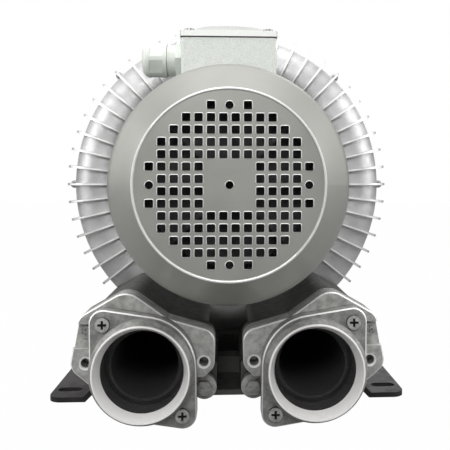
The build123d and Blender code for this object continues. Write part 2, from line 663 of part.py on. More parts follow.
def make_port(side):
    """Cover, port flange, gaskets and sleeve of one silencer; side is -1 left or 1 right."""
    name = "left" if side < 0 else "right"
    front = FLANGE_BACK + GASKET
    cover = edged(upright(cover_outline(), front, LUG_BACK))
    cover += upright(hull((LUG_R, LUG_X - PORT_X, LUG_Z + PORT_Z), (LUG_R, 0 - PORT_X, PORT_Z)), PLATE_BACK,
                     LUG_BACK)
    cover -= rod(TUBE_BORE, front - 1, LUG_BACK + 1, -PORT_X, PORT_Z)
    edge = SMALL_Z + PORT_Z
    corner = -PORT_X - NECK_R - 1.5
    cover -= slab(corner - 40, corner, front - 1, front + POCKET_DEPTH, edge - 10.5, edge + 7)
    cover -= slab(LUG_X - PORT_X - 9, LUG_X - PORT_X + 20, front - 1, PLATE_BACK, 0, PORT_Z - 9)
    for x, z in cover_bolt_places():
        cover -= rod(COVER_SCREW_R, front, LUG_BACK + 1, x, z)
    for x in (-TAPPED_X, TAPPED_X):
        cover -= rod(TAPPED_R, front - 1, LUG_BACK - 5, x - PORT_X, TAPPED_Z + PORT_Z)
        cover -= rod(TAPPED_R + SPOT_FACE, front - 1, front + SPOT_DEPTH, x - PORT_X, TAPPED_Z + PORT_Z)
    ears = [(-EAR_X - PORT_X, EAR_Z + PORT_Z), (EAR_X - PORT_X, PORT_Z - EAR_Z)]
    outline = hull((NECK_R + 1, -PORT_X, PORT_Z), *[(EAR_R, x, z) for x, z in ears])
    neck = Pos(-PORT_X, 0, PORT_Z) * revolve(profile(
        (0, FLANGE_BACK), (NECK_R, FLANGE_BACK), (NECK_R, PORT_FRONT + LIP_BEVEL), (LIP_R, PORT_FRONT),
         (0, PORT_FRONT)), Axis.Y, 360)
    flange = edged(upright(outline, FLANGE_FRONT, FLANGE_BACK)) + neck
    flange -= Pos(-PORT_X, 0, PORT_Z) * revolve(profile(
        (0, PORT_FRONT - 1), (MOUTH_R, PORT_FRONT - 1), (MOUTH_R, PORT_FRONT),
        (PORT_BORE, PORT_FRONT + MOUTH_DEPTH), (PORT_BORE, FLANGE_BACK + 1),
        (0, FLANGE_BACK + 1)), Axis.Y, 360)
    gasket = upright(outline, FLANGE_BACK, front) - rod(PORT_BORE, FLANGE_BACK, front, -PORT_X, PORT_Z)
    screws = []
    for x, z in ears:
        flange -= rod(EAR_SCREW_R, FLANGE_FRONT - 1, FLANGE_BACK + 1, x, z)
        gasket -= rod(EAR_SCREW_R, FLANGE_BACK - 1, front + 1, x, z)
        cover -= rod(EAR_SCREW_R, front - 1, front + EAR_SCREW_DEPTH + 1, x, z)
        screws.append(pan_screw(x, z, FLANGE_FRONT, EAR_HEAD_R, EAR_HEAD, EAR_SCREW_R,
                                front - FLANGE_FRONT + EAR_SCREW_DEPTH))
    pieces = {"silencer_cover_": cover, "port_flange_": flange, "port_gasket_": gasket}
    back_gasket = upright(cover_outline(), LUG_BACK, LUG_BACK + GASKET)
    back_gasket -= rod(TUBE_BORE, LUG_BACK - 1, LUG_BACK + 2, -PORT_X, PORT_Z)
    for x, z in cover_bolt_places():
        back_gasket -= rod(COVER_SCREW_R, LUG_BACK - 1, LUG_BACK + 2, x, z)
    pieces["silencer_gasket_"] = back_gasket
    sleeve = rod(TUBE_BORE, front + SLEEVE_INSET, SLEEVE_BACK, -PORT_X, PORT_Z)
    sleeve -= rod(TUBE_BORE - SLEEVE_WALL, front, SLEEVE_BACK - SLEEVE_WALL, -PORT_X, PORT_Z)
    pieces["silencer_sleeve_"] = sleeve - throat(-PORT_X)
    (bolt_x, bolt_z), (small_x, small_z) = cover_bolt_places()
    reach = GASKET + HEAD_THICK - 2
    bolt = hex_bolt(bolt_x, bolt_z, PLATE_BACK, COVER_SCREW_ACROSS, COVER_SCREW_HEAD, COVER_SCREW_R,
                    LUG_BACK - PLATE_BACK + reach)
    small = pan_screw(small_x, small_z, front + POCKET_DEPTH, SMALL_HEAD_R, SMALL_HEAD, COVER_SCREW_R,
                      LUG_BACK - front - POCKET_DEPTH + reach)
    pieces["port_screws_"] = Compound(screws)
    pieces["silencer_bolts_"] = Compound([bolt, small])
    for prefix, piece in pieces.items():
        save(prefix + name, piece if side < 0 else mirror(piece, about=Plane.YZ))


# ---- bracket ----
def make_bracket():
    """Sheet bracket: raised middle, sloping joggles and two feet on the floor."""
    run = TUBE_BOTTOM - SHEET
    lean = SHEET * math.tan(math.radians(22.5))
    right = [(0, run), (FOOT_IN - run, run), (FOOT_IN, 0), (FOOT_OUT, 0), (FOOT_OUT, SHEET),
             (FOOT_IN + lean, SHEET), (FOOT_IN - run + lean, TUBE_BOTTOM), (0, TUBE_BOTTOM)]
    half = upright(profile(*right), -BRACKET_HALF_Y, BRACKET_HALF_Y)
    half = fillet(half.edges().filter_by(Axis.Z).group_by(Axis.X)[-1], FOOT_ROUND)
    for y in (-SLOT_Y / 2, SLOT_Y / 2):
        half -= Pos(SLOT_X / 2, y, 0) * extrude(SlotOverall(SLOT_LENGTH, SLOT_WIDTH), amount=SHEET)
    for y in (BOLT_FRONT, BOLT_REAR):
        half -= Pos(BOLT_X, y, TUBE_BOTTOM) * Cylinder(BOLT_R, 20)
    left = mirror(half, about=Plane.YZ)
    save("base_bracket", half + left)
    bolts = []
    for y in (BOLT_FRONT, BOLT_REAR):
        head = Pos(BOLT_X, y, run - BOLT_HEAD) * extrude(
            RegularPolygon(BOLT_ACROSS / math.sqrt(3), 6), amount=BOLT_HEAD)
        shank = Pos(BOLT_X, y, run) * Cylinder(BOLT_R, SHEET + BOLT_DEPTH - 2, align=STANDING)
        bolts += both_sides(head + shank)
    save("bracket_bolts", Compound(bolts))


# ---- terminal box ----
def rounded(half, y_front, y_back, z0, z1, radius):
    middle = (y_front + y_back) / 2
    sketch = Pos(0, middle) * RectangleRounded(2 * half, y_back - y_front, radius)
    return Pos(0, 0, z0) * extrude(sketch, amount=z1 - z0)


def corner_places():
    x = BOX_HALF - POST_INSET
    return [(side * x, y) for side in (-1, 1) for y in (BOX_FRONT + POST_INSET, BOX_BACK - POST_INSET)]


def bar(radius, x_left, x_right):
    """Cylinder on the gland's axis."""
    return Pos((x_left + x_right) / 2, GLAND_Y, GLAND_Z) * Rot(0, 90, 0) * Cylinder(radius, x_right - x_left)


def hex_bar(half_width, x_left, x_right):
    plane = Plane(origin=(x_left, GLAND_Y, GLAND_Z), x_dir=(0, 1, 0), z_dir=(1, 0, 0))
    return extrude(plane * RegularPolygon(half_width / math.cos(math.pi / 6), 6), amount=x_right - x_left)


def make_terminal_box():
    body = rounded(BOX_HALF, BOX_FRONT, BOX_BACK, BOX_FLOOR, SEAM_Z, BOX_CORNER)
    body -= rounded(BOX_HALF - BOX_WALL, BOX_FRONT + BOX_WALL, BOX_BACK - BOX_WALL, BOX_FLOOR + BOX_WALL,
                    SEAM_Z + 1, 3)
    body += [Pos(x, y, BOX_FLOOR) * Cylinder(POST_R, SEAM_Z - BOX_FLOOR, align=STANDING)
             for x, y in corner_places()]
    screw = Cylinder(LID_SCREW_R, 12, align=HANGING)
    for x, y in corner_places():
        body -= Pos(x, y, SEAM_Z) * screw
    body -= Pos(0, WIRE_HOLE_Y, BOX_FLOOR) * Cylinder(WIRE_HOLE_R, 20)
    body -= bar(GLAND_THREAD_R, -BOX_HALF - 1, -BOX_HALF + BOX_WALL + 1)
    save("terminal_box", body)
    gasket = rounded(BOX_HALF, BOX_FRONT, BOX_BACK, SEAM_Z, SEAM_Z + GASKET, BOX_CORNER)
    gasket -= rounded(BOX_HALF - 3, BOX_FRONT + 3, BOX_BACK - 3, SEAM_Z - 1, SEAM_Z + 2, 3)
    save("box_gasket", gasket)
    low = SEAM_Z + GASKET
    top = low + LID_EDGE
    lid = rounded(BOX_HALF + 0.8, BOX_FRONT - 0.8, BOX_BACK + 0.8, low, top, BOX_CORNER)
    crown = Pos(0, 0, top) * upright(Sketch() + Ellipse(LID_CROWN_HALF, LID_CROWN), BOX_FRONT, BOX_BACK)
    lid = lid + crown - rounded(
        BOX_HALF - LID_RIM, BOX_FRONT + LID_RIM, BOX_BACK - LID_RIM, low - 1, top, 5)
    screws = []
    for x, y in corner_places():
        lid -= Pos(x, y, low) * Cylinder(LID_SCREW_R, 20)
        shank = Pos(x, y, top) * Cylinder(LID_SCREW_R, LID_EDGE + 10, align=HANGING)
        head = Pos(x, y, top) * Cylinder(LID_HEAD_R, LID_HEAD, align=STANDING)
        screws.append(shank + head - Pos(x, y, top + LID_HEAD) * Box(6, 1, 2))
    save("box_lid", lid)
    save("lid_screws", Compound(screws))
    board_top = BOX_FLOOR + BOX_WALL + BOARD_THICK
    board = slab(-BOARD_HALF, BOARD_HALF, BOX_MIDDLE - 22, BOX_MIDDLE + 8, BOX_FLOOR + BOX_WALL, board_top)
    save("terminal_board", board)
    studs = []
    for x in (-STUD_PITCH, 0, STUD_PITCH):
        for y in (BOX_MIDDLE - 15, BOX_MIDDLE + 1):
            stud = Pos(x, y, board_top + 5) * Cylinder(STUD_R, 10)
            nut = extrude(RegularPolygon(2 * STUD_R, 6), amount=3)
            studs.append(stud + Pos(x, y, board_top) * nut)
    save("terminal_studs", Compound(studs))


def make_gland():
    wall = -BOX_HALF
    neck = GLAND_END + 9
    body = hex_bar(GLAND_HEX, wall - GLAND_FLANGE, wall) + bar(GLAND_BODY_R, neck, wall)
    body += bar(GLAND_NUT_R - 1.2, GLAND_END + GLAND_NUT + 0.4, wall - GLAND_FLANGE)
    body += bar(GLAND_THREAD_R, wall - 1, wall + BOX_WALL + 6)
    save("gland_body", body - bar(GLAND_BORE, -100, 0))
    nut = bar(GLAND_NUT_R, GLAND_END, GLAND_END + GLAND_NUT)
    nut = fillet(nut.edges().sort_by(Axis.X)[0], GLAND_DOME)
    flats = bar(GLAND_NUT_R + 4, GLAND_END + GLAND_DOME, GLAND_END + GLAND_NUT - 3)
    nut -= flats - hex_bar(GLAND_HEX - 0.4, GLAND_END, 0)
    nut = nut - bar(GLAND_BODY_R, GLAND_END + GLAND_DOME, 0) - bar(GLAND_BORE, -100, 0)
    save("gland_nut", nut)
    save("gland_seal", bar(GLAND_BODY_R, GLAND_END + GLAND_DOME, neck) - bar(GLAND_BORE, -100, 0))
    inside = wall + BOX_WALL
    locknut = hex_bar(11.5, inside, inside + 4) - bar(GLAND_THREAD_R, inside - 1, inside + 5)
    save("gland_locknut", locknut)


def main():
    os.makedirs("parts", exist_ok=True)
    make_silencer_housing()
    make_duct_gasket()
    make_blower_housing()
    make_rear_cover()
    make_rim_seal_and_bolts()
    make_motor_frame()
    make_stator()
    make_fan_shield()
    make_tie_rods()
    make_bearing("drive", DRIVE_BEARING_Y)
    make_bearing("fan", FAN_BEARING_Y)
    make_shaft()
    make_rotor()
    make_impeller()
    make_impeller_mounting()
    make_cooling_fan()
    make_fan_cover()
    make_port(-1)
    make_port(1)
    make_bracket()
    make_terminal_box()
    make_gland()


if __name__ == "__main__":
    main()
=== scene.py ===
import bpy
import math
from mathutils import Matrix, Vector


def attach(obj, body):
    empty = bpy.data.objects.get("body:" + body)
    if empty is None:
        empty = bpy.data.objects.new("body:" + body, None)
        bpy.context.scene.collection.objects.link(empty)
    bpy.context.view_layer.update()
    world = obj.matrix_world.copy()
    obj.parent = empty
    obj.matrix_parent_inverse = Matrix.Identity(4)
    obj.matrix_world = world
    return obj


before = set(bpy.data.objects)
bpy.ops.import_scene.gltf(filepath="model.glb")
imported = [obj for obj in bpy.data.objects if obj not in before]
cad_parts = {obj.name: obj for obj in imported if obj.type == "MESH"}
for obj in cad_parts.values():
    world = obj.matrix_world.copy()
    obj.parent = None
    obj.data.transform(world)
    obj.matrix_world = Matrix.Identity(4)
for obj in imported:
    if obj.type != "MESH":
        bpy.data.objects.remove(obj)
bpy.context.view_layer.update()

# ---- View, light and stage ----
# A long-lens view straight at the fan cover from shaft height.  The lens is shifted so that the
# blower stands in the middle of the picture.
IMAGE_SIZE = 450
FOCAL_PIXELS = 664.0
SENSOR_WIDTH = 36.0
EYE = (-0.0029, -0.6025, 0.175)
TURN = math.radians(2.9)
AXIS_COLUMN = 225.0
HORIZON_ROW = 182.0
NEAREST = 0.01

lens = bpy.data.cameras.new("front_view")
lens.sensor_width = SENSOR_WIDTH
lens.lens = SENSOR_WIDTH * FOCAL_PIXELS / IMAGE_SIZE
centre_column = AXIS_COLUMN + FOCAL_PIXELS * math.tan(TURN)
lens.shift_x = (IMAGE_SIZE / 2 - centre_column) / IMAGE_SIZE
lens.shift_y = (HORIZON_ROW - IMAGE_SIZE / 2) / IMAGE_SIZE
lens.clip_start = NEAREST
camera = bpy.data.objects.new("front_view", lens)
camera.location = EYE
camera.rotation_euler = (math.radians(90), 0, -TURN)
bpy.context.scene.collection.objects.link(camera)
bpy.context.scene.camera = camera
bpy.context.scene.view_settings.view_transform = "Standard"

MIDDLE = Vector((0.0, 0.0, 0.16))


def softbox(name, place, width, height, watts):
    """Rectangular studio lamp that faces the middle of the blower."""
    lamp = bpy.data.lights.new(name, "AREA")
    lamp.shape = "RECTANGLE"
    lamp.size = width
    lamp.size_y = height
    lamp.energy = watts
    box = bpy.data.objects.new(name, lamp)
    box.location = place
    box.rotation_euler = (MIDDLE - Vector(place)).to_track_quat("-Z", "Y").to_euler()
    bpy.context.scene.collection.objects.link(box)


softbox("softbox_top", (0.0, -0.35, 1.5), 1.4, 0.8, 10.0)
softbox("softbox_front", (-0.1, -1.2, 0.75), 0.5, 0.35, 4.6)
softbox("softbox_left", (-1.2, -0.25, 0.55), 0.7, 0.9, 6.5)
softbox("softbox_right", (1.2, -0.25, 0.55), 0.7, 0.9, 6.0)
softbox("softbox_back", (0.2, 1.2, 0.8), 0.9, 0.7, 8.0)


def add_node(tree, kind, sockets, **settings):
    """Add a shader node, set it up, and give each of the named inputs its value or its link."""
    node = tree.nodes.new("ShaderNode" + kind)
    for name, value in settings.items():
        setattr(node, name, value)
    for key, value in sockets.items():
        if isinstance(value, bpy.types.NodeSocket):
            tree.links.new(value, node.inputs[key])
        else:
            node.inputs[key].default_value = value
    return node


# The room is white where the camera looks at it.  For everything else it is bright overhead and
# dim near the floor, like a light tent that is lit from above.
LOW_HEADING, HIGH_HEADING = -0.2, 0.9
LOW_LEVEL, HIGH_LEVEL = 0.05, 1.15
world = bpy.data.worlds.new("white_room")
world.use_nodes = True
bpy.context.scene.world = world
sky = world.node_tree
sky.nodes.clear()
rays = add_node(sky, "LightPath", {}).outputs
direct = add_node(
    sky, "Math", {0: rays["Is Camera Ray"], 1: rays["Is Transmission Ray"]}, operation="MAXIMUM")
heading = add_node(sky, "TexCoord", {}).outputs["Generated"]
upward = add_node(sky, "SeparateXYZ", {"Vector": heading}).outputs["Z"]
overhead = add_node(sky, "MapRange", {
    "Value": upward, "From Min": LOW_HEADING, "From Max": HIGH_HEADING,
    "To Min": LOW_LEVEL, "To Max": HIGH_LEVEL})
level = add_node(
    sky, "Mix", {"Factor": direct.outputs["Value"], "A": overhead.outputs["Result"], "B": 1.0},
    data_type="FLOAT")
white = add_node(sky, "Background", {"Color": (1, 1, 1, 1), "Strength": level.outputs["Result"]})
add_node(sky, "OutputWorld", {"Surface": white.outputs["Background"]})

# The floor is a dull grey for the light and nearly white where the camera looks at it.
FLOOR_WIDTH = 8.0
FLOOR_PLACE = (0, 1.0, -0.0005)
FLOOR_GREY = (0.25, 0.25, 0.25, 1)
FLOOR_GLOW = 0.99
bpy.ops.object.select_all(action="DESELECT")
bpy.ops.mesh.primitive_plane_add(size=FLOOR_WIDTH, location=FLOOR_PLACE)
floor = bpy.context.object
floor.name = "studio_floor"
floor_paint = bpy.data.materials.new("studio_floor")
floor_paint.use_nodes = True
tree = floor_paint.node_tree
tree.nodes.clear()
looked_at = add_node(tree, "LightPath", {}).outputs["Is Camera Ray"]
share = add_node(tree, "Mix", {"Factor": looked_at, "A": 0.0, "B": FLOOR_GLOW}, data_type="FLOAT")
matte = add_node(tree, "BsdfDiffuse", {"Color": FLOOR_GREY})
glow = add_node(tree, "Emission", {})
blend = add_node(tree, "MixShader", {
    "Fac": share.outputs["Result"], 1: matte.outputs["BSDF"], 2: glow.outputs["Emission"]})
add_node(tree, "OutputMaterial", {"Surface": blend.outputs["Shader"]})
floor.data.materials.append(floor_paint)


# ---- Base bracket ----
# One bent steel sheet under the silencers with a foot on each side.  It is painted a dark brownish
# grey, dusty on its flat faces and rubbed lighter in places.
class Finish:
    """A surface of the blower: masks, colours and relief that follow the piece itself."""

    def __init__(self, name, metallic, coat=0.0):
        self.material = bpy.data.materials.new(name)
        self.material.use_nodes = True
        self.tree = self.material.node_tree
        self.shader = self.tree.nodes["Principled BSDF"]
        self.shader.inputs["Metallic"].default_value = metallic
        self.shader.inputs["Coat Weight"].default_value = coat
        self.place = add_node(self.tree, "TexCoord", {}).outputs["Object"]
        self.skin = None
        self.relief = None

    def noise(self, scale, detail=4.0, stretch=(1, 1, 1), rough=0.55):
        place = add_node(self.tree, "Mapping", {"Vector": self.place, "Scale": stretch})
        noise = add_node(self.tree, "TexNoise", {
            "Vector": place.outputs["Vector"], "Scale": scale, "Detail": detail, "Roughness": rough})
        return noise.outputs["Fac"]

    def along(self, axis):
        """Place along the X, Y or Z axis."""
        return add_node(self.tree, "SeparateXYZ", {"Vector": self.place}).outputs[axis]

    def radius(self, x, z):
        """Distance from a line that runs from front to back."""
        offset = add_node(self.tree, "VectorMath", {0: self.place, 1: (x, 0, z)}, operation="SUBTRACT")
        across = add_node(
            self.tree, "VectorMath", {0: offset.outputs["Vector"], 1: (1, 0, 1)}, operation="MULTIPLY")
        length = add_node(self.tree, "VectorMath", {0: across.outputs["Vector"]}, operation="LENGTH")
        return length.outputs["Value"]

    def maths(self, operation, *values):
        node = add_node(self.tree, "Math", dict(enumerate(values)), operation=operation)
        return node.outputs["Value"]

    def band(self, value, middle, half):
        """1 within half a width of the middle, and 0 elsewhere."""
        return self.maths("COMPARE", value, middle, half)

    def spread(self, value, low, high, start=0.3, end=0.7):
        """Carry a value from start to end over to low to high."""
        node = add_node(self.tree, "MapRange", {
            "Value": value, "From Min": start, "From Max": end, "To Min": low, "To Max": high})
        return node.outputs["Result"]

    def beyond(self, value, edge, blur):
        """0 up to an edge and 1 past it."""
        return self.spread(value, 0.0, 1.0, edge, edge + blur)

    def short_of(self, value, edge, blur):
        """1 up to an edge and 0 past it."""
        return self.spread(value, 1.0, 0.0, edge, edge + blur)

    def ramp(self, value, *stops):
        """Colour by a value; each stop is (position, colour)."""
        ramp = add_node(self.tree, "ValToRGB", {"Fac": value})
        elements = ramp.color_ramp.elements
        while len(elements) < len(stops):
            elements.new(0.5)
        for element, (position, colour) in zip(elements, stops):
            element.position = position
            element.color = (*colour, 1)
        return ramp.outputs["Color"]

    def mix(self, factor, first, second):
        first, second = [(*value, 1) if isinstance(value, tuple) else value for value in (first, second)]
        node = add_node(self.tree, "Mix", {"Factor": factor, "A": first, "B": second}, data_type="RGBA")
        return node.outputs["Result"]

    def bump(self, value, depth, strength=1.0):
        node = add_node(self.tree, "Bump", {"Distance": depth, "Strength": strength, "Height": value})
        if self.relief:
            self.tree.links.new(self.relief, node.inputs["Normal"])
        self.relief = node.outputs["Normal"]
        self.tree.links.new(self.relief, self.shader.inputs["Normal"])

    def colour(self, value):
        self.skin = value
        self.tree.links.new(value, self.shader.inputs["Base Color"])

    def roughness(self, value):
        self.tree.links.new(value, self.shader.inputs["Roughness"])

    def metallic(self, value):
        self.tree.links.new(value, self.shader.inputs["Metallic"])


def grey(level, warmth=0.0):
    """Grey that is warmed by taking blue away."""
    return (level, level, level * (1 - 2 * warmth))


def dress(finish, *nodes):
    """Give a finish to CAD nodes."""
    for node in nodes:
        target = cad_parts[node]
        target.data.materials.clear()
        target.data.materials.append(finish.material)


PAINT_IN_HOLLOWS = (0.012, 0.0105, 0.0105)
PAINT = (0.018, 0.016, 0.016)
PAINT_RUBBED = (0.034, 0.030, 0.030)
bracket_paint = Finish("bracket_paint", 0.0)
bracket_paint.shader.inputs["Specular IOR Level"].default_value = 0.3
bracket_paint.colour(bracket_paint.ramp(
    bracket_paint.noise(34, 6), (0.3, PAINT_IN_HOLLOWS), (0.55, PAINT), (0.75, PAINT_RUBBED)))
bracket_paint.roughness(bracket_paint.spread(bracket_paint.noise(120), 0.55, 0.75))
bracket_paint.bump(bracket_paint.noise(900, 2), 0.00015, 0.5)
dress(bracket_paint, "base_bracket")


# ---- Silencer housing ----
# The twin tubes that stand on the bracket are one pressure die casting in aluminium, tumbled and
# left bare, with a fine sandy skin and faint flow marks.  Their colour is much darker than the
# other aluminium castings: painted shade for the shadow under the fan cover and between the tubes.
def cast_finish(name, dark, light, grain, warmth=0.01, rough=(0.42, 0.62), metallic=0.75):
    """Bare or thinly sprayed casting, its tone varied at random by flow marks."""
    casting = Finish(name, metallic)
    hollow, middle, raised = [grey(level, warmth) for level in (dark, (dark + light) / 2, light)]
    flow_marks = casting.noise(22, 6, (1, 1, 1.6))
    casting.colour(casting.ramp(flow_marks, (0.28, hollow), (0.5, middle), (0.74, raised)))
    casting.roughness(casting.spread(casting.noise(160, 3), *rough))
    casting.bump(casting.noise(1500, 2), 0.00022, grain)
    casting.bump(casting.noise(70, 3), 0.0006, 0.18)
    return casting


dress(cast_finish("tube_casting_painted_shade", 0.075, 0.15, 0.5, 0.02), "silencer_housing")

# ---- Silencer sleeves ----
# Rolled sleeves of black needle felt line the two tubes and take the noise out of the air.  They
# are pushed in and held by the silencer covers.
sleeve_felt = Finish("sleeve_felt", 0.0)
fibres = sleeve_felt.noise(700, 6)
sleeve_felt.colour(sleeve_felt.ramp(fibres, (0.3, grey(0.02)), (0.7, grey(0.05))))
sleeve_felt.roughness(sleeve_felt.spread(fibres, 0.8, 1.0))
sleeve_felt.bump(fibres, 0.0008, 0.8)
dress(sleeve_felt, "silencer_sleeve_left", "silencer_sleeve_right")

# ---- Blower housing and rear cover ----
# The two halves of the ring channel are aluminium die castings with a pale, matt skin, bolted rim
# to rim.  The crests of the housing's thin fins carry a painted highlight, a near-white stripe.
SHAFT_HEIGHT = 0.173
FIN_FOOT_R = 0.106
FIN_TIP_R = 0.146
FINS_PER_TURN = 56
CREST_START = 0.45
CREST_END = 0.54
MASK_BLUR = 0.01
BARE_BELOW = math.radians(48)
EDGE_BLUR = 0.001
RING_LOOK = (0.49, 0.67, 0.35, 0.0, (0.42, 0.56), 0.85)


def paint_fin_crest_highlights(casting):
    """Paint a near-white highlight on the fin crests between the fins' feet and tips, all round but for
    the bare bottom.
    """
    reach = casting.radius(0, SHAFT_HEIGHT)
    height = casting.maths("SUBTRACT", casting.along("Z"), SHAFT_HEIGHT)
    angle = casting.maths("ARCTAN2", height, casting.along("X"))
    fin_count = casting.maths("MULTIPLY_ADD", angle, FINS_PER_TURN / math.tau, 0.5)
    share_of_pitch = casting.maths("FRACT", fin_count)
    from_bottom = casting.maths("ABSOLUTE", casting.maths("ADD", angle, math.pi / 2))
    crest_highlight = casting.beyond(share_of_pitch, CREST_START, MASK_BLUR)
    for mask in (
        casting.short_of(share_of_pitch, CREST_END, MASK_BLUR),
        casting.beyond(reach, FIN_FOOT_R, EDGE_BLUR),
        casting.short_of(reach, FIN_TIP_R, EDGE_BLUR),
        casting.beyond(from_bottom, BARE_BELOW - MASK_BLUR, MASK_BLUR),
    ):
        crest_highlight = casting.maths("MULTIPLY", crest_highlight, mask)
    # Painted highlight: the fin crests are coloured near white.
    casting.colour(casting.mix(crest_highlight, casting.skin, grey(0.95, 0.01)))


finned_casting = cast_finish("finned_casting", *RING_LOOK)
paint_fin_crest_highlights(finned_casting)
dress(finned_casting, "blower_housing")
dress(cast_finish("rear_casting", *RING_LOOK), "rear_cover")

# ---- Gaskets and seals ----
# Black fibre sheet and rubber, cut or moulded to the faces that they seal and squeezed between
# them, so that only their thin edges show.
gasket_sheet = Finish("gasket_sheet", 0.0)
gasket_sheet.colour(gasket_sheet.ramp(gasket_sheet.noise(300), (0.35, grey(0.03)), (0.7, grey(0.07))))
gasket_sheet.roughness(gasket_sheet.spread(gasket_sheet.noise(500), 0.7, 0.9))
gasket_sheet.bump(gasket_sheet.noise(1800, 2), 0.0002, 0.6)
dress(gasket_sheet, "duct_gaskets", "silencer_gasket_left", "silencer_gasket_right",
      "port_gasket_left", "port_gasket_right", "cover_seal", "box_gasket", "gland_seal", "shaft_seal")

# ---- Impeller and rotor end rings ----
# The vaned impeller and the end rings of the rotor's cage are bright aluminium castings.  The
# impeller is keyed to the shaft, and the rings are cast on to the rotor's core.
dress(cast_finish("impeller_casting", 0.42, 0.56, 0.3), "impeller", "rotor_end_rings")

# ---- Shaft, key and bearings ----
# Turned and ground steel, with fine tool marks round the axis.  The end of the shaft behind the
# grille is painted near black as painted shade inside the cowl.
SHADED_SHAFT_END = -0.14
SHAFT_SHADE_BLUR = 0.002
ground_steel = Finish("ground_steel", 1.0)
turning = ground_steel.noise(40, 5, (1, 30, 1))
# Painted shade: the front end of the shaft is coloured near black.
shaft_end_shade = ground_steel.short_of(ground_steel.along("Y"), SHADED_SHAFT_END, SHAFT_SHADE_BLUR)
own_colour = ground_steel.ramp(turning, (0.3, grey(0.48)), (0.7, grey(0.62)))
ground_steel.colour(ground_steel.mix(shaft_end_shade, own_colour, grey(0.012)))
ground_steel.roughness(ground_steel.spread(turning, 0.15, 0.32))
ground_steel.bump(turning, 0.00005, 0.3)
dress(ground_steel, "shaft", "impeller_key", "shaft_sleeve",
      "drive_bearing_outer", "drive_bearing_inner", "drive_bearing_balls",
      "fan_bearing_outer", "fan_bearing_inner", "fan_bearing_balls")

# ---- Stator and rotor cores ----
# Stacks of thin punched steel sheets, dark from annealing, pressed into the frame and on to the
# shaft.  The edges of the sheets show as fine rings.
laminations = Finish("laminations", 0.8)
sheets = laminations.noise(30, 3, (1, 60, 1))
laminations.colour(laminations.ramp(sheets, (0.3, grey(0.12)), (0.7, grey(0.24))))
laminations.roughness(laminations.spread(sheets, 0.45, 0.65))
laminations.bump(sheets, 0.0003, 0.6)
dress(laminations, "stator_core", "rotor_core")

# ---- Winding heads ----
# Bundles of enamelled copper wire that come out of the stator's slots at each end, bent round and
# tied, then soaked in varnish.
VARNISHED_DARK = (0.28, 0.09, 0.03)
VARNISHED_LIGHT = (0.55, 0.24, 0.09)
enamelled_wire = Finish("enamelled_wire", 0.9)
strands = enamelled_wire.noise(120, 3, (1, 6, 1))
enamelled_wire.colour(enamelled_wire.ramp(strands, (0.3, VARNISHED_DARK), (0.7, VARNISHED_LIGHT)))
enamelled_wire.roughness(enamelled_wire.spread(strands, 0.25, 0.45))
enamelled_wire.bump(strands, 0.0008, 0.7)
dress(enamelled_wire, "winding_heads")

# ---- Motor frame and end shield ----
# Extruded aluminium frame with lengthwise fins, and the die-cast shield behind the fan.  Both are
# sprayed a thin silver grey, with draw lines along the fins.
frame_spray = Finish("frame_spray", 0.55)
draw_lines = frame_spray.noise(60, 5, (8, 0.25, 8))
frame_spray.colour(frame_spray.ramp(draw_lines, (0.3, grey(0.25)), (0.7, grey(0.36))))
frame_spray.roughness(frame_spray.spread(draw_lines, 0.4, 0.6))
frame_spray.bump(draw_lines, 0.0003, 0.3)
dress(frame_spray, "motor_frame")
dress(cast_finish("shield_casting", 0.25, 0.36, 0.5), "fan_end_shield")

# ---- Cooling fan, terminal board and ball cages ----
# Injection-moulded dark grey plastic with a slight sheen.  The fan is clipped to the end of the
# shaft, behind the grille.
moulding = Finish("fan_plastic", 0.0)
moulding.colour(moulding.ramp(moulding.noise(60), (0.3, grey(0.055)), (0.7, grey(0.10))))
moulding.roughness(moulding.spread(moulding.noise(300), 0.4, 0.6))
moulding.bump(moulding.noise(900), 0.0002, 0.4)
dress(moulding, "cooling_fan", "terminal_board", "drive_bearing_cage", "fan_bearing_cage")

# ---- Fan cover ----
# Deep-drawn steel cowl, sprayed satin grey: flat punched face, rolled edge and a smooth sloping
# shoulder.  The spray is even; a narrow ring along the bead round the face is a painted highlight.
COWL_EDGE_R = 0.0622
BEAD_HALF = 0.0007
SPRAY_WARMTH = 0.035
cowl_spray = Finish("cowl_spray", 0.62, coat=0.12)
thin, even, thick = [grey(level, SPRAY_WARMTH) for level in (0.31, 0.345, 0.385)]
spray = cowl_spray.ramp(cowl_spray.noise(9, 5), (0.3, thin), (0.55, even), (0.75, thick))
# Painted highlight: a pale ring along the bead round the face.
bead_highlight = cowl_spray.band(cowl_spray.radius(0, SHAFT_HEIGHT), COWL_EDGE_R, BEAD_HALF)
cowl_spray.colour(cowl_spray.mix(bead_highlight, spray, grey(0.80, 0.01)))
cowl_spray.roughness(cowl_spray.spread(cowl_spray.noise(45, 6), 0.34, 0.46))
cowl_spray.bump(cowl_spray.noise(1100, 2), 0.00012, 0.35)
dress(cowl_spray, "fan_cover")

# ---- Lips of the punched holes ----
# Each hole of the cowl's grille has a small rolled-in lip, pressed by the punch.  The lips are
# coloured lighter than the face as a painted highlight.  The grid's places are counted in half
# pitches from the shaft.
COWL_FACE = -0.1769
HALF_PITCH = 0.00395
HOLE_HALF = 0.00275
HOLE_CORNER = 0.0009
ROUND_HOLE_R = 0.0027
LIP_WIDTH = 0.0004
LIP_RISE = 0.00028
LIP_DEPTH = 0.0009
GRID_REACH = 13
LAST_IN_ROW = {1: 11, 3: 13, 5: 11, 7: 11, 9: 9, 11: 7}
PLAIN_MIDDLE = 4
OUTER_PAIR = 3


